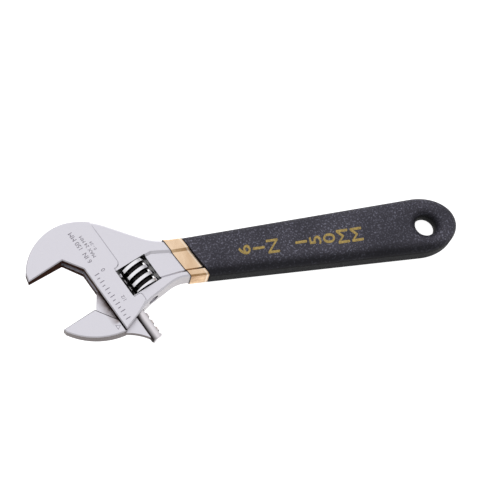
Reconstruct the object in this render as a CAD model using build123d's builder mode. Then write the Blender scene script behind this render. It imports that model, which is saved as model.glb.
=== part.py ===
from build123d import *
import os
from math import atan, atan2, ceil, cos, pi, radians, sin, tan

# Adjustable wrench, nominal 6 in (150 mm), lying flat. All lengths are in millimetres.
# Origin: centre of the hang hole, half way through the thickness.
# +X runs along the handle, away from the head. +Z is normal to the flat faces.
# The head has axes of its own: u runs along the jaw faces, from the tips towards the handle, and
# v runs along the slide, from the movable jaw up to the fixed jaw. The fixed jaw's face is at
# v = 0 and the slide face is at u = 0.

os.makedirs("parts", exist_ok=True)

# ---- driving dimensions ----
head_angle = 24.5            # jaw faces to handle axis, degrees
head_corner = (-128.8, 7.2)  # x and y where the fixed jaw's face would meet the slide face
jaw_opening = 21.0           # gap between the jaw faces as stored

plate_half = 4.25            # half thickness of the head plate
shank_half = 3.9             # half thickness of the neck and handle core
plate_low = (1.2, -33.3)     # from here its lower edge leaves the forging's outline
plate_round = (2.2, 1.1)     # rounding of its corners above and below the worm window
edge_break = 0.35            # bevel along the head's edges
shank_bevel = 0.6            # bevel along the neck's edges

fixed_tip_half = 1.95        # half thickness of the fixed jaw at its tip
fixed_taper_u = 2.5          # u where the head starts to get thinner towards the tip
lower_tip_half = 2.0         # half thickness of the movable jaw at its tip
lower_half = 2.9             # half thickness of the movable jaw at the slide

jaw_tip_u = -18.0            # u of the fixed jaw's tip
throat_u = -4.4              # u where the jaw face ends and the throat facet starts
throat_depth = 6.9           # how far down the slide the throat facet ends
slide_end = 33.2             # length of the slide, from the fixed jaw's face down
slide_gap = 0.12             # gap between the slide and the movable jaw

window_u = (8.5, 20.7)       # worm window, across the slide
window_v = (-24.5, -13.6)    # worm window, along the slide
keyway_u = 7.8               # axis of the jaw's round shank
shank_r = 2.3                # radius of the jaw's round shank
keyway_r = shank_r + 0.15
shank_top = 5.2              # top of the jaw's shank above the jaw's face
shank_low = -20.6            # bottom of the jaw's shank below the jaw's face
keyway_top = shank_top + 0.7
web_half = 1.1               # half thickness of the jaw's web
slot_half = web_half + 0.15

worm_u = 14.8                # axis of the worm and its pin
worm_r = 5.6                 # radius over the thread
worm_root_r = 4.3            # radius of the thread's root
worm_pitch = 3.0
worm_play = 0.3              # gap at each end of the worm
thread_crest = 1.2           # width of the thread on top
thread_slope = tan(radians(16))
mesh_gap = 0.16              # gap between the worm's thread and each rack tooth
tip_gap = 0.2                # gap between the worm's crest and the bottom of the rack
pin_r = 1.5
pin_fit = 0.02
worm_bore_r = pin_r + 0.06
pin_head_r = 2.0
pin_top = -9.0               # blind end of the pin
pin_step = -25.7             # where the pin's threaded head starts
pin_end = -27.7              # slotted end of the pin
pin_slot = (0.7, 0.8)        # width and depth of the pin's screwdriver slot
pin_slot_turn = 35.0         # how the slot stands, degrees
spring_pocket = (2.6, 3.2)   # radius and depth of the pocket in the worm
spring_r = 2.05              # radius of the spring, to the middle of the wire
spring_wire_r = 0.25
spring_coils = 3.5

core_end_half = 9.1          # half width of the handle core at the hang hole
core_end_x = 10.0            # far end of the handle core
core_hole_r = 5.8
panel_depth = 0.9            # depth of the recess on each side of the handle
panel_end = (-16.0, 5.6)     # x and half width of the recess at its far end
panel_top_bends = [(-102.0, 4.2), (-95.5, 3.7)]
panel_low_bend = (-92.8, -5.4)
panel_in_window = 2.2        # the recess starts this far inside the worm window
hang_r = 3.75                # clear radius of the hang hole
hang_lip = (4.0, 4.1)        # width and depth of the hang hole's rounded rim
grip_half = 4.75             # half thickness of the grip
grip_round = 2.6             # rounding of the grip's edges
grip_front_x = -84.0         # front end of the grip's straight sides
grip_front_half = 7.95       # half width of the grip there
grip_spare = 16.0            # the sides run on this far to be cut off at a slant
grip_swell_x = -3.0          # where the straight sides pass into the oval end
grip_swell_half = 10.75      # half width of the grip there
grip_end_x = 11.6            # far end of the grip
band_x = (-93.3, -86.7)      # the gold band, where its slanted edges cross the handle's axis
band_slant = tan(radians(26.5))
band_skin = 0.3              # thickness of the gold band
grip_gap = 0.17              # gap between band and grip

tick_pitch = 25.4 / 16       # the opening scale is in sixteenths of an inch
tick_first = -11.2           # v of the zero mark
tick_count = 13
tick_u = 1.6                 # all marks start at this distance from the slide
tick_short = 1.1
tick_long = 1.8
tick_width = 0.3
tick_depth = 0.15

reach = 60.0                 # longer than anything that a cut has to go through

# ---- the head's frame ----
ca = cos(radians(head_angle))
sa = sin(radians(head_angle))
u_dir = Vector(ca, sa, 0)
v_dir = Vector(-sa, ca, 0)
z_dir = Vector(0, 0, 1)


def at(u, v, z=0.0):
    """Point of the head's frame, in the wrench's frame."""
    return Vector(*head_corner, z) + u_dir * u + v_dir * v


def flat_plane(z=0.0):
    """Plane parallel to the flat faces, with x along u and y along v."""
    return Plane(origin=at(0, 0, z), x_dir=u_dir, z_dir=z_dir)


def cross_plane(u, v):
    """Plane square to the slide, with its normal up the slide and x along u."""
    return Plane(origin=at(u, v), x_dir=u_dir, z_dir=v_dir)


def section_plane(v=0.0):
    """Plane square to the slide, with x along u and y along z."""
    return Plane(origin=at(0, v), x_dir=u_dir, z_dir=u_dir.cross(z_dir))


# ---- outline of the forging: head, neck and handle core ----
jaw_tip = at(jaw_tip_u, 0)
throat = at(throat_u, 0)
facet_end = at(0, -throat_depth)
heel = at(0, -slide_end)
chin = Vector(-106.9, -15.1, 0)
waist = Vector(-99.4, -10.2, 0)
neck_low = Vector(-91.0, -7.1, 0)
neck_top = Vector(-93.0, 7.2, 0)
shoulder = Vector(-105.2, 10.2, 0)
crown_end = Vector(-116.1, 16.05, 0)
crown_back = Vector(-121.5, 18.2, 0)
crown_top = Vector(-127.5, 18.95, 0)
crown_front = Vector(-140.6, 13.5, 0)
crown_start = Vector(-145.8, 3.0, 0)


def forging_outline(grow=0.0):
    """The forging's outline. The neck and handle can be made wider by grow."""
    side = Vector(0, grow, 0)
    core_low = Vector(0, -core_end_half, 0) - side
    core_top = Vector(0, core_end_half, 0) + side
    Polyline(jaw_tip, throat, facet_end, heel, chin)
    Spline(chin, waist - side, neck_low - side, tangents=[chin - heel, (1, -0.02, 0)])
    Line(neck_low - side, core_low)
    ThreePointArc(core_low, (core_end_x + grow, 0), core_top)
    Line(core_top, neck_top + side)
    Spline(neck_top + side, shoulder, tangents=[(-1, 0, 0), crown_end - shoulder])
    Line(shoulder, crown_end)
    ThreePointArc(crown_end, crown_back, crown_top)
    ThreePointArc(crown_top, crown_front, crown_start)
    Line(crown_start, jaw_tip)


# the raised plate's corners round the worm window
plate_step_u = 9.0
plate_top_corner = (11.5, -12.8)
plate_low_corners = [(11.8, -24.7), (11.8, -28.2)]


def plate_outline():
    """The raised plate's own edge, round the worm window. The forging's outline bounds the rest."""
    top_u, top_v = plate_top_corner
    Polyline(
        (-reach, reach),
        (top_u, reach),
        plate_top_corner,
        (plate_step_u, top_v),
        (plate_step_u, plate_low_corners[0][1]),
        *plate_low_corners,
        plate_low,
        (-reach, -reach),
        close=True,
    )


def panel_outline(shrink=0.0):
    """The recess in the flat of the handle, from inside the worm window to short of the hang hole."""
    inner_u = window_u[1] - panel_in_window
    top_v = window_v[1] - 0.1
    low_v = window_v[0] + 0.1
    end_x, end_half = panel_end
    down = Vector(0, -shrink, 0)
    Polyline(
        at(inner_u, top_v) + down,
        at(window_u[1], top_v) + down,
        *[Vector(*bend, 0) + down for bend in panel_top_bends],
        Vector(end_x, end_half, 0) + down,
        Vector(end_x, -end_half, 0) - down,
        Vector(*panel_low_bend, 0) - down,
        at(window_u[1], low_v) - down,
        at(inner_u, low_v) - down,
        close=True,
    )


def free_rim(part, limit=0.9):
    """Edges between a face that looks up or down and a side wall."""
    flats = part.faces().filter_by(lambda f: abs(f.normal_at().Z) > limit)
    rim = [edge for face in flats for edge in face.outer_wire().edges()]
    return [e for e in rim if sum(e.is_same(other) for other in rim) == 1]


def taper_wedges(start_u, start_half, tip_half):
    """What is cut away above and below a jaw to make it thinner towards its tip."""
    slope = (start_half - tip_half) / (start_u - jaw_tip_u)
    past_tip = 8.0
    far_u = jaw_tip_u - past_tip
    far_half = tip_half - past_tip * slope
    with BuildPart() as wedges:
        with BuildSketch(section_plane()):
            with BuildLine():
                Polyline(
                    (start_u, start_half),
                    (start_u, plate_half + 2),
                    (far_u, plate_half + 2),
                    (far_u, far_half),
                    close=True,
                )
            make_face()
            mirror(about=Plane.XZ)
        extrude(amount=reach, both=True)
    return wedges.part


# ---- worm: a core with one right-hand thread, and a pocket for the spring ----
worm_low = window_v[0] + worm_play
worm_high = window_v[1] - worm_play
worm_length = worm_high - worm_low
thread_over = 2.05           # the thread is made this much longer at each end, then cut off
thread_start = worm_low - thread_over
thread_sunk = 0.3            # the thread's profile starts this far inside the core

with BuildPart() as adjusting_worm:
    with BuildSketch(cross_plane(worm_u, worm_low)):
        Circle(worm_root_r)
    extrude(amount=worm_length)
    with BuildLine() as thread_path:
        Helix(
            worm_pitch,
            worm_length + 2 * thread_over,
            worm_root_r,
            center=at(worm_u, thread_start),
            direction=v_dir,
        )
    thread_out = (thread_path.line @ 0 - at(worm_u, thread_start)).normalized()
    with BuildSketch(Plane(thread_path.line @ 0, x_dir=thread_out, z_dir=thread_path.line % 0)):
        with BuildLine():
            crest_x = worm_r - worm_root_r
            crest_y = thread_crest / 2
            root_y = crest_y + (crest_x + thread_sunk) * thread_slope
            Polyline(
                (-thread_sunk, -root_y),
                (crest_x, -crest_y),
                (crest_x, crest_y),
                (-thread_sunk, root_y),
                close=True,
            )
        make_face()
    sweep(path=thread_path.line, is_frenet=True)
    # cut both ends square
    with BuildSketch(cross_plane(worm_u, worm_low - 4), cross_plane(worm_u, worm_high)):
        Circle(worm_r + 2)
    extrude(amount=4, mode=Mode.SUBTRACT)
    with BuildSketch(cross_plane(worm_u, worm_low - 1)):
        Circle(worm_bore_r)
    extrude(amount=worm_length + 2, mode=Mode.SUBTRACT)
    with BuildSketch(cross_plane(worm_u, worm_high - spring_pocket[1])):
        Circle(spring_pocket[0])
    extrude(amount=spring_pocket[1] + 1, mode=Mode.SUBTRACT)
adjusting_worm.part.label = "adjusting_worm"
export_step(adjusting_worm.part, "parts/adjusting_worm.step")

# Where the thread's middle crosses the side that faces the rack, as a height on the slide.
rack_side = -u_dir
turn_to_rack = atan2(thread_out.cross(rack_side).dot(v_dir), thread_out.dot(rack_side))
thread_at_rack = thread_start + worm_pitch * turn_to_rack / (2 * pi)
lead_angle = atan(worm_pitch / (2 * pi * (worm_r + worm_root_r) / 2))

# ---- worm pin: slotted head at the lower edge, plain shaft through the worm ----
with BuildPart() as worm_pin:
    with BuildSketch(cross_plane(worm_u, pin_end)):
        Circle(pin_head_r)
    extrude(amount=pin_step - pin_end)
    with BuildSketch(cross_plane(worm_u, pin_step)):
        Circle(pin_r)
    extrude(amount=pin_top - pin_step)
    chamfer(worm_pin.faces().sort_by(Axis(at(0, 0), v_dir))[-1].edges(), length=0.3)
    chamfer(worm_pin.faces().sort_by(Axis(at(0, 0), v_dir))[0].edges(), length=0.25)
    with BuildSketch(cross_plane(worm_u, pin_end - 1)):
        Rectangle(pin_head_r * 2 + 1, pin_slot[0], rotation=pin_slot_turn)
    extrude(amount=pin_slot[1] + 1, mode=Mode.SUBTRACT)
worm_pin.part.label = "worm_pin"
export_step(worm_pin.part, "parts/worm_pin.step")

# ---- worm spring: a few coils round the pin, between the worm and the window's end ----
spring_height = spring_pocket[1] + worm_play - 2 * spring_wire_r - 0.1
spring_start = worm_high - spring_pocket[1] + 0.05 + spring_wire_r
with BuildPart() as worm_spring:
    with BuildLine() as spring_path:
        Helix(
            spring_height / spring_coils,
            spring_height,
            spring_r,
            center=at(worm_u, spring_start),
            direction=v_dir,
        )
    with BuildSketch(Plane(spring_path.line @ 0, z_dir=spring_path.line % 0)):
        Circle(spring_wire_r)
    sweep(path=spring_path.line, is_frenet=True)
worm_spring.part.label = "worm_spring"
export_step(worm_spring.part, "parts/worm_spring.step")

# ---- the forging's two bodies: the raised head plate, and the shank behind it ----
with BuildPart() as head_plate:
    with BuildSketch(Plane.XY.offset(-plate_half)):
        with BuildLine():
            forging_outline()
        make_face()
    extrude(amount=2 * plate_half)
    with BuildSketch(flat_plane(-plate_half)) as plate_sketch:
        with BuildLine():
            plate_outline()
        make_face()
        fillet(plate_sketch.vertices().sort_by_distance(plate_top_corner)[0], radius=plate_round[0])
        for corner in plate_low_corners:
            fillet(plate_sketch.vertices().sort_by_distance(corner)[0], radius=plate_round[1])
    extrude(amount=2 * plate_half, mode=Mode.INTERSECT)
    add(taper_wedges(fixed_taper_u, plate_half, fixed_tip_half), mode=Mode.SUBTRACT)
    chamfer(free_rim(head_plate.part), length=edge_break)


def handle_block(grow):
    """The shank from inside the head plate to the handle's end, each face moved out by grow."""
    half = shank_half + grow
    with BuildPart() as block:
        with BuildSketch(Plane.XY.offset(-half)):
            with BuildLine():
                forging_outline(grow)
            make_face()
        extrude(amount=2 * half)
        chamfer(free_rim(block.part), length=shank_bevel)
        with BuildSketch(flat_plane(-half - 1)):
            with Locations((fixed_taper_u - reach, 0)):
                Rectangle(2 * reach, 2 * reach)
        extrude(amount=2 * half + 2, mode=Mode.SUBTRACT)
        # the recess's long walls slope at 45 degrees
        for side in (1, -1):
            for depth in (0, panel_depth):
                with BuildSketch(Plane.XY.offset(side * (half - depth))):
                    with BuildLine():
                        panel_outline(grow + depth)
                    make_face()
            loft(ruled=True, mode=Mode.SUBTRACT)
    return block.part


# ---- wrench body ----
with BuildPart() as wrench_body:
    add(head_plate.part)
    add(handle_block(0))
    # worm window
    with BuildSketch(flat_plane(-plate_half - 1)):
        with BuildLine():
            Polyline(
                (window_u[0], window_v[0]),
                (window_u[1], window_v[0]),
                (window_u[1], window_v[1]),
                (window_u[0], window_v[1]),
                close=True,
            )
        make_face()
    extrude(amount=2 * plate_half + 2, mode=Mode.SUBTRACT)
    # round keyway for the jaw's shank, open at the bottom
    with BuildSketch(cross_plane(keyway_u, keyway_top)):
        Circle(keyway_r)
    extrude(amount=-reach, mode=Mode.SUBTRACT)
    # slot for the jaw's web, open at the slide, the facet and the bottom
    with BuildSketch(flat_plane(-slot_half)):
        with BuildLine():
            slot_top = shank_top + 0.35
            Polyline(
                (throat_u - 1.0, -1.0),
                (-0.65, slot_top),
                (keyway_u, slot_top),
                (keyway_u, -reach),
                (jaw_tip_u, -reach),
                (jaw_tip_u, -throat_depth - 1.1),
                close=True,
            )
        make_face()
    extrude(amount=2 * slot_half, mode=Mode.SUBTRACT)
    # hole for the worm pin
    with BuildSketch(cross_plane(worm_u, pin_top + 0.2)):
        Circle(pin_r + pin_fit)
    extrude(amount=pin_end - pin_top, mode=Mode.SUBTRACT)
    with BuildSketch(cross_plane(worm_u, pin_step + 0.1)):
        Circle(pin_head_r + pin_fit)
    extrude(amount=-4 * pin_head_r, mode=Mode.SUBTRACT)
    # hang hole in the core, lined by the grip
    with BuildSketch(Plane.XY.offset(-plate_half)):
        Circle(core_hole_r)
    extrude(amount=2 * plate_half, mode=Mode.SUBTRACT)
    # opening scale along the slide
    with BuildSketch(flat_plane(plate_half - tick_depth)):
        for tick in range(tick_count):
            length = tick_long if tick % 2 == 0 else tick_short
            with Locations((tick_u + length / 2, tick_first - tick * tick_pitch)):
                Rectangle(length, tick_width)
    extrude(amount=1, mode=Mode.SUBTRACT)
wrench_body.part.label = "wrench_body"
export_step(wrench_body.part, "parts/wrench_body.step")

# ---- movable jaw: blade, web and toothed shank ----
face_v = -jaw_opening


def rack_width(u):
    """Width of a rack groove at u: the worm's thread there, with a gap on both sides."""
    return thread_crest + 2 * thread_slope * (worm_r - (worm_u - u)) + 2 * mesh_gap


with BuildPart() as movable_jaw:
    with BuildSketch(flat_plane(-lower_half)):
        with BuildLine():
            blade_tip = (jaw_tip_u + 0.5, face_v)
            blade_toe = (jaw_tip_u + 0.7, face_v - 1.3)
            root = (throat_u - 0.5, face_v)
            heel_top = (-slide_gap, face_v - 7.6)
            heel_low = (-slide_gap, face_v - 12.4)
            Polyline(blade_toe, blade_tip, root, heel_top, heel_low)
            ThreePointArc(heel_low, (-8.6, face_v - 9.5), blade_toe)
        make_face()
    extrude(amount=2 * lower_half)
    add(taper_wedges(0, lower_half, lower_tip_half), mode=Mode.SUBTRACT)
    chamfer(free_rim(movable_jaw.part), length=edge_break)
    with BuildSketch(cross_plane(keyway_u, face_v + shank_low)):
        Circle(shank_r)
    extrude(amount=shank_top - shank_low)
    low_rim = movable_jaw.faces().sort_by(Axis(at(0, 0), v_dir))[0].edges()
    fillet(low_rim, radius=1.1)
    with BuildSketch(flat_plane(-web_half)):
        with BuildLine():
            web_heel = (-1.5, face_v - 12.0)
            web_low = (keyway_u - 1.4, face_v - 19.8)
            Polyline(
                web_heel,
                (-4.6, face_v - 0.6),
                (-0.5, face_v + shank_top),
                (keyway_u, face_v + shank_top),
                (keyway_u, web_low[1]),
                web_low,
            )
            ThreePointArc(web_low, (3.4, face_v - 15.6), web_heel)
        make_face()
    extrude(amount=2 * web_half)
    # rack teeth: grooves cut square to the worm's thread
    groove_dir = z_dir * cos(lead_angle) + v_dir * sin(lead_angle)
    groove_bottom = worm_u - worm_r - tip_gap
    groove_mouth = keyway_u + shank_r + 0.5
    low = rack_width(groove_bottom) / 2
    high = rack_width(groove_mouth) / 2
    # the grooves run a little past both ends of the shank
    first = ceil((face_v + shank_low - 1.0 - thread_at_rack) / worm_pitch)
    last = ceil((face_v + shank_top + 1.0 - thread_at_rack) / worm_pitch)
    for groove in range(first, last):
        groove_v = thread_at_rack + groove * worm_pitch
        with BuildSketch(Plane(origin=at(0, groove_v), x_dir=u_dir, z_dir=groove_dir)):
            with BuildLine():
                Polyline(
                    (groove_bottom, -low),
                    (groove_mouth, -high),
                    (groove_mouth, high),
                    (groove_bottom, low),
                    close=True,
                )
            make_face()
        extrude(amount=2 * shank_r, both=True, mode=Mode.SUBTRACT)
movable_jaw.part.label = "movable_jaw"
export_step(movable_jaw.part, "parts/movable_jaw.step")


# ---- gold band round the neck ----
def slanted_slab(x_low, x_high):
    """Slab between two slanted planes that cross the handle's axis at x_low and x_high."""
    lean = Vector(reach * band_slant, -reach, 0)
    low = Vector(x_low, 0, 0)
    high = Vector(x_high, 0, 0)
    with BuildPart() as slab:
        with BuildSketch(Plane.XY.offset(-2 * plate_half)):
            with BuildLine():
                Polyline(low + lean, high + lean, high - lean, low - lean, close=True)
            make_face()
        extrude(amount=4 * plate_half)
    return slab.part


with BuildPart() as trim_band:
    add(handle_block(band_skin))
    add(slanted_slab(*band_x), mode=Mode.INTERSECT)
    add(wrench_body.part, mode=Mode.SUBTRACT)
trim_band.part.label = "trim_band"
export_step(trim_band.part, "parts/trim_band.step")

# ---- grip: dipped cover over the handle core ----
with BuildPart() as grip:
    with BuildSketch(Plane.XY.offset(-grip_half)):
        with BuildLine():
            widening = (grip_swell_half - grip_front_half) / (grip_swell_x - grip_front_x)
            start_x = grip_front_x - grip_spare
            start_half = grip_front_half - grip_spare * widening
            Polyline(
                (grip_swell_x, grip_swell_half),
                (start_x, start_half),
                (start_x, -start_half),
                (grip_swell_x, -grip_swell_half),
            )
            oval_half = grip_end_x - grip_swell_x
            EllipticalCenterArc(
                (grip_swell_x, 0), oval_half, grip_swell_half, start_angle=-90, arc_size=180
            )
        make_face()
    extrude(amount=2 * grip_half)
    fillet(free_rim(grip.part), radius=grip_round)
    add(slanted_slab(band_x[1] + grip_gap, 2 * reach), mode=Mode.INTERSECT)
    # hang hole: a short straight bore with a wide rounded rim on both sides
    with BuildSketch(Plane.XZ):
        with BuildLine():
            lip_width, lip_depth = hang_lip
            rim_r = hang_r + lip_width
            bore_half = grip_half - lip_depth
            past_face = grip_half + 1
            Polyline((0, -past_face), (rim_r, -past_face), (rim_r, -grip_half))
            EllipticalCenterArc((rim_r, -bore_half), lip_width, lip_depth, start_angle=180, arc_size=90)
            Line((hang_r, -bore_half), (hang_r, bore_half))
            EllipticalCenterArc((rim_r, bore_half), lip_width, lip_depth, start_angle=90, arc_size=90)
            Polyline((rim_r, grip_half), (rim_r, past_face), (0, past_face), (0, -past_face))
        make_face()
    revolve(axis=Axis.Z, mode=Mode.SUBTRACT)
    add(wrench_body.part, mode=Mode.SUBTRACT)
grip.part.label = "grip"
export_step(grip.part, "parts/grip.step")
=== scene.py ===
"""Looks of the adjustable wrench: materials, stamped and printed marks, studio and camera."""

from math import cos, pi, radians, sin, tan

import bmesh
import bpy
from mathutils import Matrix, Vector


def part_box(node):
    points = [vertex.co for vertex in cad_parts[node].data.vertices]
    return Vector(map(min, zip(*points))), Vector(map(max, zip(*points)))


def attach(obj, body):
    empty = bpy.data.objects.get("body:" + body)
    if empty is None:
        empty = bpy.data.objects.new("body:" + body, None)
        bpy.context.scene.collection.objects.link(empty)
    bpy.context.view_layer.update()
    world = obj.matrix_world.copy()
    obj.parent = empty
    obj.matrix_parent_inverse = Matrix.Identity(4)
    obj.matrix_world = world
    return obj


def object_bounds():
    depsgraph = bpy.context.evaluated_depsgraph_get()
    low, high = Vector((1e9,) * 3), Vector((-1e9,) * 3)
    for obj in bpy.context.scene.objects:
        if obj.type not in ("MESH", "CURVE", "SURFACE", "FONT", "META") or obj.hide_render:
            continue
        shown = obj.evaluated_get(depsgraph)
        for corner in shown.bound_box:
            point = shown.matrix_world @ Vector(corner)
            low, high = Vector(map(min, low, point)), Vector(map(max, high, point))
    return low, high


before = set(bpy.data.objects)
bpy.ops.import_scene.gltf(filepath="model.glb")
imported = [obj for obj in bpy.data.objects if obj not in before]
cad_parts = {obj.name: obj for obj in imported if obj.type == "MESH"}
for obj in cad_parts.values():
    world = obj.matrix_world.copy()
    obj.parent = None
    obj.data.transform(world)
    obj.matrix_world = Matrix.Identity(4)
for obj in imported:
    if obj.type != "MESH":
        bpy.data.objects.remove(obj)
cad_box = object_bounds()
MM = 0.001

# ---- the head's frame: u runs along the jaw faces, v up the slide, as in the CAD ----
HEAD_ANGLE = radians(24.5)
HEAD_CORNER = Vector((-128.8, 7.2, 0.0)) * MM
U_DIR = Vector((cos(HEAD_ANGLE), sin(HEAD_ANGLE), 0))
V_DIR = Vector((-sin(HEAD_ANGLE), cos(HEAD_ANGLE), 0))
UP = Vector((0, 0, 1))

# ---- heights, in metres ----
PLATE_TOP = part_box("wrench_body")[1].z
GRIP_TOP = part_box("grip")[1].z
JAW_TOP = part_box("movable_jaw")[1].z
FLOOR_Z = cad_box[0][2]
FLOOR_GAP = 0.0001           # the floor lies this far under the lowest point

# ---- places of the finishes, in millimetres ----
JAW_WALL_U = (0.3, 0.6)      # walls nearer the jaw tips than this get painted shade
WINDOW_U = (4.5, 20.85)      # the worm window, and the keyway behind it
WINDOW_V = (-24.7, -13.4)
SCALE_U = (1.4, 3.7)         # the opening scale
SCALE_V = (-31.6, -10.6)
SCALE_FLOOR_Z = (4.15, 4.2)  # the floors of its marks lie below this
WEB_SHADE_U = (-3.2, -0.2)       # painted shadow of the slot on the jaw's web
WEB_SHADE_V = (-29.5, 0.0)
SHANK_U = 7.8                # axis of the jaw's round shank
SHANK_R = (2.33, 2.37)
GROOVE_R = (2.0, 2.24)       # the rack grooves are nearer the shank's axis than this
GROOVE_LOW_V = (-40.4, -40.0)
WORM_U = 14.8                # axis of the worm
THREAD_R = (4.25, 5.6)       # from the root of its thread to the crest
GRIP_FRONT_X = -84.0         # front end of the grip's straight sides
GRIP_WIDENING = 0.0346       # growth of its half width along the handle
GRIP_SHADE_Y = (3.2, 6.2)    # where painted shade darkens its lower side, from the middle at the front
BAND_ACROSS = Vector((1, tan(radians(26.5)), 0))
BAND_LEFT = -93.3            # where the band's slanted edges cross the handle's axis
BAND_RIGHT = -86.7

# ---- colours ----
WHITE = (1, 1, 1)
STEEL_TONE = (0.79, 0.78, 0.82)
SHANK_TONE = (0.82, 0.79, 0.80)
# painted shade: the dark wall and window tones below darken upright walls, the shank's shaded side and
# hollows, standing in for dark surroundings that the steel mirrors
WALL_LIGHT = (0.42, 0.40, 0.41)
WALL_BROWN = (0.085, 0.065, 0.062)
WALL_DARK = (0.022, 0.017, 0.016)
WALL_SHADE_MOTTLE = (0.05, 0.04, 0.037)
WALL_RIM = (0.40, 0.36, 0.34)      # what dark walls reflect at a glancing angle
# painted shade inside the worm window, the keyway and the rack grooves
WINDOW_DARK = (0.015, 0.013, 0.013)
# painted shadow of the slot on the jaw's web
WEB_SHADE = (0.20, 0.155, 0.145)
SCALE_FILL = (0.28, 0.26, 0.30)
PIN_TONE = (0.35, 0.34, 0.35)
SPRING_TONE = (0.4, 0.4, 0.42)
VINYL_DARK = (0.020, 0.019, 0.027)
VINYL_LIGHT = (0.036, 0.034, 0.045)
# painted glints on the grip's flats
VINYL_GLINT = (0.22, 0.22, 0.28)
# painted shade on the grip's sides
VINYL_SIDE = (0.007, 0.007, 0.008)
GOLD_DARK = (0.74, 0.52, 0.32)
GOLD_LIGHT = (0.92, 0.70, 0.48)
# painted highlight line on the band
GOLD_SHINE = (1.0, 0.9, 0.74)
# painted shade on the band's folds and at its edges
BAND_SHADE_DARK = (0.40, 0.22, 0.09)
BAND_SHADE_LIGHT = (0.74, 0.51, 0.29)
BAND_RIM = (0.02, 0.014, 0.01)
STAMP_DARK = (0.10, 0.09, 0.11)
STAMP_LIGHT = (0.34, 0.32, 0.36)
POINTER_LIGHT = (0.30, 0.28, 0.32)
PRINT_DARK = (0.16, 0.11, 0.03)
PRINT_LIGHT = (0.42, 0.30, 0.08)
PAPER_DARK = (0.42, 0.42, 0.43)
PAPER_LIGHT = (0.45, 0.45, 0.45)

# ---- marks, in millimetres unless said otherwise ----
MARK_RISE = 0.00003          # how far marks stand proud, in metres
CAP_SHARE = 0.73             # cap height as a share of the font's size
HEAD_WORDS = [
    # word, u, v, cap height
    ("6 IN  150 MM", 3.2, 0.3, 1.7),
    ("MAX 24 MM", 5.6, -0.8, 1.3),
    ("0 - 24", 7.4, -1.5, 1.1),
    ("0", 5.3, -10.9, 1.5),
    ("1/2", 5.4, -23.5, 1.3),
]
GRIP_WORD = "6IN 150MM"
GRIP_PRINT_X = -68.8         # middle of the first letter
GRIP_PRINT_Y = -0.7
GRIP_PRINT_PITCH = 5.22
GRIP_PRINT_HEIGHT = 4.4
GRIP_PRINT_WIDEN = 1.35      # the printed letters are this much wider than the font's
GRIP_PRINT_STROKE = 0.1      # the two layers of each letter are moved this far either way
POINTER_SPOT = (-1.8, -30.6)  # its middle, as u and v
POINTER_REACH = 1.1          # from its middle to its corners
POINTER_LINE = 0.3
POINTER_CORNERS = 3
JAW_SLOPE = 0.05             # fall of the movable jaw's top towards its tip, per millimetre

# ---- studio, in metres and watts ----
FLOOR_HALF = 3.0
FLOOR_GLOW = 0.93
SKY_TOP = 0.95
SKY_HORIZON = 0.5
SKY_RISE = (0.1, 0.75)       # the sky brightens between these heights on the unit sphere
SKY_TINT = (0.98, 0.97, 1.0, 1)
KEY_PLACE = Vector((-0.3, 0.25, 0.55))
KEY_TARGET = Vector((-0.07, 0, 0))
KEY_SIZE = (0.5, 0.4)
KEY_POWER = 1.6
CAMERA_PLACE = Vector((-0.1694, -0.1684, 0.4440))
CAMERA_TARGET = Vector((-0.0660, 0.0008, 0.0))
CAMERA_ROLL = radians(21.2)
CAMERA_SENSOR = 36.0         # mm
CAMERA_LENS = 97.8           # mm


def at(u, v, z):
    """Point of the head's frame: u and v in millimetres, z in metres."""
    return HEAD_CORNER + U_DIR * (u * MM) + V_DIR * (v * MM) + UP * z


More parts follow.
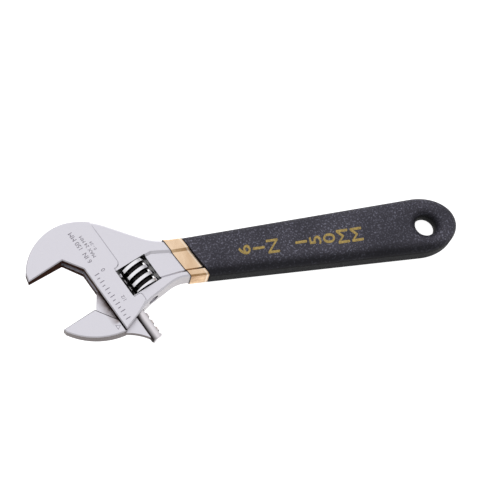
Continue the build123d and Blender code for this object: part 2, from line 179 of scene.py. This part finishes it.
# ---- materials ----
class Shader:
    """A Principled material with short helpers for its procedural nodes."""

    def __init__(self, name, **settings):
        self.material = bpy.data.materials.new(name)
        self.material.use_nodes = True
        self.tree = self.material.node_tree
        self.bsdf = self.tree.nodes["Principled BSDF"]
        self.coords = self.node("ShaderNodeTexCoord")
        for socket, value in settings.items():
            self.bsdf.inputs[socket.replace("_", " ")].default_value = value

    def node(self, kind, inputs=None, **settings):
        made = self.tree.nodes.new(kind)
        for key, value in settings.items():
            setattr(made, key, value)
        for key, value in (inputs or {}).items():
            self.plug(value, made.inputs[key])
        return made

    def plug(self, value, socket):
        if isinstance(value, bpy.types.NodeSocket):
            self.tree.links.new(value, socket)
        else:
            socket.default_value = value

    def set(self, name, value):
        """Plug a value into one of the surface's own inputs."""
        self.plug(value, self.bsdf.inputs[name])

    def noise(self, scale, detail=3.0, rough=0.5, stretch=(1, 1, 1)):
        place = self.node("ShaderNodeMapping", {"Vector": self.coords.outputs["Object"], "Scale": stretch})
        tex = self.node(
            "ShaderNodeTexNoise",
            {"Vector": place.outputs["Vector"], "Scale": scale, "Detail": detail, "Roughness": rough},
        )
        return tex.outputs["Fac"]

    def cells(self, scale):
        tex = self.node("ShaderNodeTexVoronoi", {"Vector": self.coords.outputs["Object"], "Scale": scale})
        return tex.outputs["Distance"]

    def ramp(self, value, stops):
        made = self.node("ShaderNodeValToRGB", {"Fac": value})
        band = made.color_ramp
        while len(band.elements) < len(stops):
            band.elements.new(0.5)
        for element, (place, colour) in zip(band.elements, stops):
            element.position = place
            element.color = (*colour, 1)
        return made.outputs["Color"]

    def scale_to(self, value, low, high, out_low, out_high):
        made = self.node(
            "ShaderNodeMapRange",
            {"Value": value, "From Min": low, "From Max": high, "To Min": out_low, "To Max": out_high},
        )
        return made.outputs["Result"]

    def rise(self, value, low, high):
        """0 below low, 1 above high."""
        return self.scale_to(value, low, high, 0.0, 1.0)

    def fall(self, value, low, high):
        """1 below low, 0 above high."""
        return self.scale_to(value, low, high, 1.0, 0.0)

    def mix(self, factor, first, second):
        made = self.node("ShaderNodeMix", data_type="RGBA")
        self.plug(factor, made.inputs["Factor"])
        for value, socket in ((first, made.inputs["A"]), (second, made.inputs["B"])):
            self.plug((*value, 1) if isinstance(value, tuple) else value, socket)
        return made.outputs["Result"]

    def bump(self, height, strength, distance, under=None):
        made = self.node("ShaderNodeBump", {"Height": height, "Strength": strength, "Distance": distance})
        if under is not None:
            self.plug(under, made.inputs["Normal"])
        return made.outputs["Normal"]

    def math(self, operation, first, second=0.0):
        return self.node("ShaderNodeMath", {0: first, 1: second}, operation=operation).outputs[0]

    def times(self, first, second):
        return self.math("MULTIPLY", first, second)

    def dot(self, vector, direction):
        made = self.node("ShaderNodeVectorMath", {0: vector, 1: Vector(direction)}, operation="DOT_PRODUCT")
        return made.outputs["Value"]

    def along(self, direction, origin=HEAD_CORNER):
        """Distance from origin along a direction, in millimetres."""
        offset = self.node(
            "ShaderNodeVectorMath", {0: self.coords.outputs["Object"], 1: origin}, operation="SUBTRACT"
        )
        return self.dot(offset.outputs[0], Vector(direction) / MM)

    def from_axis(self, u):
        """Distance in millimetres from the line at u, half way through, that is parallel to the slide."""
        across = self.math("SUBTRACT", self.along(U_DIR), u)
        height = self.along(UP)
        squares = self.math("ADD", self.times(across, across), self.times(height, height))
        return self.math("SQRT", squares)

    def between(self, value, span, soft):
        """1 where value lies in the span, with soft edges."""
        low, high = span
        above = self.rise(value, low - soft, low + soft)
        below = self.fall(value, high - soft, high + soft)
        return self.times(above, below)

    def facing(self, direction, low, high):
        """0 to 1 as the surface turns to face a direction."""
        return self.rise(self.dot(self.coords.outputs["Normal"], direction), low, high)

    def upright(self, low=0.35, high=0.8):
        """1 on walls that stand upright, 0 on the flats."""
        split = self.node("ShaderNodeSeparateXYZ", {"Vector": self.coords.outputs["Normal"]})
        return self.fall(self.math("ABSOLUTE", split.outputs["Z"]), low, high)


def duller(tone, share):
    return tuple(channel * share for channel in tone)


def satin(s, tone=STEEL_TONE, rough=0.36, grain=(1, 6, 1)):
    """Satin plating: fine grain in colour, roughness and relief. Returns the colour."""
    fine = s.noise(scale=2200, detail=3, rough=0.6, stretch=grain)
    wide = s.noise(scale=26, detail=2)
    s.set("Roughness", s.scale_to(fine, 0.3, 0.7, rough - 0.03, rough + 0.04))
    s.set("Normal", s.bump(fine, strength=0.12, distance=0.00002))
    grainy = s.mix(s.rise(fine, 0.35, 0.65), duller(tone, 0.93), tone)
    return s.mix(s.scale_to(wide, 0.35, 0.65, 0.0, 0.5), grainy, duller(tone, 0.96))


def body_steel():
    s = Shader("satin_steel", Metallic=1.0)
    u = s.along(U_DIR)
    v = s.along(V_DIR)
    upright = s.upright()
    # painted shade: upright walls are darker than the flats
    colour = s.mix(upright, satin(s), WALL_LIGHT)
    # painted shade: the machined walls of the jaw face, throat and slide are dark, standing in for the dark
    # surface that they mirror
    wall_shade = s.mix(s.rise(s.noise(scale=1100, detail=4), 0.35, 0.65), WALL_DARK, WALL_SHADE_MOTTLE)
    jaw_side = s.times(upright, s.fall(u, *JAW_WALL_U))
    colour = s.mix(jaw_side, colour, wall_shade)
    s.set("Specular Tint", s.mix(jaw_side, WHITE, WALL_RIM))
    # painted shade also darkens the inside of the worm window and of the keyway
    window = s.times(s.between(u, WINDOW_U, 0.1), s.between(v, WINDOW_V, 0.1))
    colour = s.mix(s.times(upright, window), colour, WINDOW_DARK)
    # the scale's marks are filled dark; their floors are level, and the taper beside them isn't
    scale = s.times(s.between(u, SCALE_U, 0.1), s.between(v, SCALE_V, 0.1))
    level = s.times(s.facing(UP, 0.996, 0.999), s.fall(s.along(UP), *SCALE_FLOOR_Z))
    s.set("Base Color", s.mix(s.times(scale, level), colour, SCALE_FILL))
    return s.material


def jaw_steel():
    s = Shader("jaw_steel", Metallic=1.0)
    u = s.along(U_DIR)
    v = s.along(V_DIR)
    # painted shade: the jaw's upright walls are dark brown
    colour = s.mix(s.upright(), satin(s, grain=(6, 1, 1)), WALL_BROWN)
    # painted shadow: the web darkens towards the slot that it runs in
    web_shade = s.times(s.rise(u, *WEB_SHADE_U), s.between(v, WEB_SHADE_V, 0.5))
    patchy_web_shade = s.times(web_shade, s.scale_to(s.noise(scale=420, detail=4), 0.3, 0.6, 0.55, 1.0))
    colour = s.mix(patchy_web_shade, colour, WEB_SHADE)
    # the round shank is polished, with painted shade on its side towards the web, and painted shade
    # blackens its rack grooves
    reach = s.from_axis(SHANK_U)
    polished = s.mix(s.facing(-U_DIR, 0.1, 0.75), SHANK_TONE, WALL_DARK)
    colour = s.mix(s.fall(reach, *SHANK_R), colour, polished)
    grooves = s.times(s.fall(reach, *GROOVE_R), s.rise(v, *GROOVE_LOW_V))
    s.set("Base Color", s.mix(grooves, colour, WINDOW_DARK))
    return s.material


def worm_chrome():
    """Painted shade: bright on the thread's crests and nearly black at its root, where the thread's hollow
    lies in shade.
    """
    s = Shader("worm_chrome", Metallic=1.0)
    haze = s.noise(scale=900)
    shade_jitter = s.scale_to(s.noise(scale=700), 0.3, 0.7, -0.25, 0.25)
    reach = s.math("ADD", s.from_axis(WORM_U), shade_jitter)
    # painted shade: dark near the thread's root, bright at its crest, with a ragged edge
    stops = [(0.0, (0.012, 0.011, 0.011)), (0.45, (0.05, 0.046, 0.046)), (0.8, (0.9, 0.9, 0.91))]
    s.set("Base Color", s.ramp(s.rise(reach, *THREAD_R), stops))
    s.set("Roughness", s.scale_to(haze, 0.3, 0.7, 0.08, 0.2))
    s.set("Normal", s.bump(haze, strength=0.15, distance=0.00005))
    return s.material


def plain_steel(name, tone, rough):
    s = Shader(name, Metallic=1.0)
    s.set("Base Color", satin(s, tone, rough))
    return s.material


def vinyl():
    """Dipped vinyl: blue-black, fine-grained, with painted glints as light flecks on the flats."""
    s = Shader("dipped_vinyl")
    grain = s.noise(scale=1500, detail=5, rough=0.7)
    wide = s.noise(scale=70)
    tone = s.mix(s.rise(wide, 0.35, 0.65), VINYL_DARK, VINYL_LIGHT)
    # painted glints: light flecks where the fine grain peaks
    painted_glints = s.times(s.rise(grain, 0.53, 0.68), s.scale_to(wide, 0.3, 0.6, 0.35, 1.0))
    tone = s.mix(painted_glints, tone, VINYL_GLINT)
    # painted shade: darker and duller on the upright sides and down the lower side
    low_side = s.along((-GRIP_WIDENING, -1, 0), (GRIP_FRONT_X * MM, 0, 0))
    shade = s.math("MAXIMUM", s.upright(0.25, 0.95), s.scale_to(low_side, *GRIP_SHADE_Y, 0.0, 0.8))
    s.set("Base Color", s.mix(shade, tone, VINYL_SIDE))
    s.set("Specular IOR Level", s.scale_to(shade, 0.0, 1.0, 0.3, 0.04))
    s.set("Roughness", s.scale_to(grain, 0.3, 0.7, 0.45, 0.65))
    fine = s.bump(grain, strength=0.5, distance=0.0001)
    s.set("Normal", s.bump(s.cells(1300), strength=0.4, distance=0.0001, under=fine))
    return s.material


def band_gold():
    """Gold band: painted shade as browner streaks on its folds, a painted highlight line near one edge, and
    painted shade at its dark edges.
    """
    s = Shader("gold_band", Metallic=1.0)
    streak = s.noise(scale=240, detail=4, rough=0.6, stretch=(1, 0.3, 1))
    across = s.along(BAND_ACROSS, (0, 0, 0))
    tone = s.mix(s.rise(streak, 0.3, 0.7), GOLD_DARK, GOLD_LIGHT)
    # painted shade: browner streaks where the band's folds turn away from the flat
    fold_shade = s.mix(s.rise(streak, 0.35, 0.65), BAND_SHADE_DARK, BAND_SHADE_LIGHT)
    tone = s.mix(s.upright(0.86, 0.985), tone, fold_shade)
    # painted highlight: a light line near the right edge
    shine = s.between(across, (BAND_RIGHT - 0.9, BAND_RIGHT - 0.5), 0.25)
    tone = s.mix(s.times(shine, 0.7), tone, GOLD_SHINE)
    # painted shade: the band's edges, where it meets the steel and the grip, are dark
    inside = s.between(across, (BAND_LEFT + 0.2, BAND_RIGHT - 0.12), 0.06)
    s.set("Base Color", s.mix(inside, BAND_RIM, tone))
    s.set("Roughness", s.scale_to(streak, 0.3, 0.7, 0.34, 0.22))
    s.set("Normal", s.bump(s.noise(scale=700), strength=0.15, distance=0.00004))
    return s.material


def mark_paint(name, low, high, metallic=0.0):
    """Paint or stamping that fills a mark, a little rubbed."""
    s = Shader(name, Metallic=metallic)
    patch = s.noise(scale=1800, detail=4, rough=0.7)
    s.set("Base Color", s.ramp(patch, [(0.35, low), (0.65, high)]))
    s.set("Roughness", s.scale_to(patch, 0.3, 0.7, 0.5, 0.7))
    return s.material


def paint(node, material):
    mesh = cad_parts[node].data
    mesh.materials.clear()
    mesh.materials.append(material)


paint("wrench_body", body_steel())
paint("movable_jaw", jaw_steel())
paint("adjusting_worm", worm_chrome())
paint("worm_pin", plain_steel("pin_steel", PIN_TONE, 0.4))
paint("worm_spring", plain_steel("spring_steel", SPRING_TONE, 0.3))
paint("grip", vinyl())
paint("trim_band", band_gold())


# ---- marks: size and scale figures stamped in the head, size printed on the grip ----
def add_word(mesh, word, place, up, height, widen=1.0):
    """Add a word to a bmesh: centred at place, its letters' tops towards up, cap height in mm."""
    curve = bpy.data.curves.new("word", "FONT")
    curve.body = word
    curve.align_x = "CENTER"
    curve.align_y = "CENTER"
    curve.size = height * MM / CAP_SHARE
    curve.extrude = MARK_RISE / 2
    source = bpy.data.objects.new("word", curve)
    letters = bpy.data.meshes.new_from_object(source)
    right = up.cross(UP)
    turn = Matrix((right * widen, up, UP)).transposed().to_4x4()
    letters.transform(Matrix.Translation(place) @ turn)
    mesh.from_mesh(letters)
    bpy.data.objects.remove(source)
    bpy.data.curves.remove(curve)
    bpy.data.meshes.remove(letters)


def add_mark(name, mesh, material, body):
    data = bpy.data.meshes.new(name)
    mesh.to_mesh(data)
    mesh.free()
    data.materials.append(material)
    piece = bpy.data.objects.new(name, data)
    bpy.context.scene.collection.objects.link(piece)
    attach(piece, body)


def build_head_marks():
    mesh = bmesh.new()
    for word, u, v, height in HEAD_WORDS:
        add_word(mesh, word, at(u, v, PLATE_TOP + MARK_RISE / 2), -U_DIR, height)
    stamping = mark_paint("stamping", STAMP_DARK, STAMP_LIGHT, metallic=0.6)
    add_mark("head_marks", mesh, stamping, "root")


def build_grip_print():
    """One letter after another along the handle, each turned with its top towards the head."""
    mesh = bmesh.new()
    for index, letter in enumerate(GRIP_WORD):
        if letter == " ":
            continue
        x = GRIP_PRINT_X + index * GRIP_PRINT_PITCH
        # each letter is laid down twice, a little apart, for a broad stroke
        for layer, shift in enumerate((-GRIP_PRINT_STROKE, GRIP_PRINT_STROKE)):
            z = GRIP_TOP + MARK_RISE * (layer + 0.5)
            place = Vector(((x + shift) * MM, (GRIP_PRINT_Y + shift) * MM, z))
            add_word(mesh, letter, place, Vector((-1, 0, 0)), GRIP_PRINT_HEIGHT, GRIP_PRINT_WIDEN)
    gold = mark_paint("gold_print", PRINT_DARK, PRINT_LIGHT)
    add_mark("grip_print", mesh, gold, "root")


def build_pointer():
    """Outlined triangle on the movable jaw, near the foot of the opening scale."""
    mesh = bmesh.new()
    rings = []
    for reach in (POINTER_REACH, POINTER_REACH - POINTER_LINE):
        ring = []
        for corner in range(POINTER_CORNERS):
            turn = 2 * pi * corner / POINTER_CORNERS
            u = POINTER_SPOT[0] + reach * cos(turn)
            v = POINTER_SPOT[1] + reach * sin(turn)
            ring.append(mesh.verts.new(at(u, v, JAW_TOP + u * JAW_SLOPE * MM + MARK_RISE)))
        rings.append(ring)
    outer, inner = rings
    for corner in range(POINTER_CORNERS):
        after = (corner + 1) % POINTER_CORNERS
        mesh.faces.new((outer[corner], outer[after], inner[after], inner[corner]))
    stamping = mark_paint("pointer_stamping", STAMP_DARK, POINTER_LIGHT, metallic=0.6)
    add_mark("pointer", mesh, stamping, "jaw")


build_head_marks()
build_grip_print()
build_pointer()


# ---- studio ----
def floor_paper():
    """White paper that gives off light of its own, so that the shadow stays faint."""
    s = Shader("floor_paper", Roughness=0.9, Emission_Strength=FLOOR_GLOW, Emission_Color=(*WHITE, 1))
    s.set("Base Color", s.ramp(s.noise(scale=30), [(0.3, PAPER_DARK), (0.7, PAPER_LIGHT)]))
    return s.material


def build_floor():
    mesh = bpy.data.meshes.new("floor")
    corners = [(x * FLOOR_HALF, y * FLOOR_HALF, 0) for x, y in ((-1, -1), (1, -1), (1, 1), (-1, 1))]
    mesh.from_pydata(corners, [], [(0, 1, 2, 3)])
    floor = bpy.data.objects.new("floor", mesh)
    floor.location.z = FLOOR_Z - FLOOR_GAP
    bpy.context.scene.collection.objects.link(floor)
    mesh.materials.append(floor_paper())


def build_key_light():
    """Soft light from above. Polished metal doesn't mirror it."""
    light = bpy.data.lights.new("key", "AREA")
    light.shape = "RECTANGLE"
    light.size, light.size_y = KEY_SIZE
    light.energy = KEY_POWER
    lamp = bpy.data.objects.new("key", light)
    lamp.location = KEY_PLACE
    lamp.visible_glossy = False
    lamp.rotation_euler = (KEY_TARGET - KEY_PLACE).to_track_quat("-Z", "Y").to_euler()
    bpy.context.scene.collection.objects.link(lamp)


def build_world():
    """Soft studio: light from above, dimmer towards the horizon."""
    world = bpy.data.worlds.new("studio")
    world.use_nodes = True
    tree = world.node_tree
    coords = tree.nodes.new("ShaderNodeTexCoord")
    split = tree.nodes.new("ShaderNodeSeparateXYZ")
    level = tree.nodes.new("ShaderNodeMapRange")
    tree.links.new(coords.outputs["Generated"], split.inputs["Vector"])
    tree.links.new(split.outputs["Z"], level.inputs["Value"])
    level.inputs["From Min"].default_value = SKY_RISE[0]
    level.inputs["From Max"].default_value = SKY_RISE[1]
    level.inputs["To Min"].default_value = SKY_HORIZON
    level.inputs["To Max"].default_value = SKY_TOP
    background = tree.nodes["Background"]
    background.inputs["Color"].default_value = SKY_TINT
    tree.links.new(level.outputs["Result"], background.inputs["Strength"])
    bpy.context.scene.world = world


def build_camera():
    """Camera at the view's angle, rolled about its line of sight."""
    data = bpy.data.cameras.new("camera")
    data.sensor_width = CAMERA_SENSOR
    data.lens = CAMERA_LENS
    camera = bpy.data.objects.new("camera", data)
    turn = (CAMERA_TARGET - CAMERA_PLACE).to_track_quat("-Z", "Y").to_matrix().to_4x4()
    camera.matrix_world = Matrix.Translation(CAMERA_PLACE) @ turn @ Matrix.Rotation(CAMERA_ROLL, 4, "Z")
    bpy.context.scene.collection.objects.link(camera)
    bpy.context.scene.camera = camera


build_floor()
build_world()
build_key_light()
build_camera()
bpy.context.scene.view_settings.view_transform = "Standard"
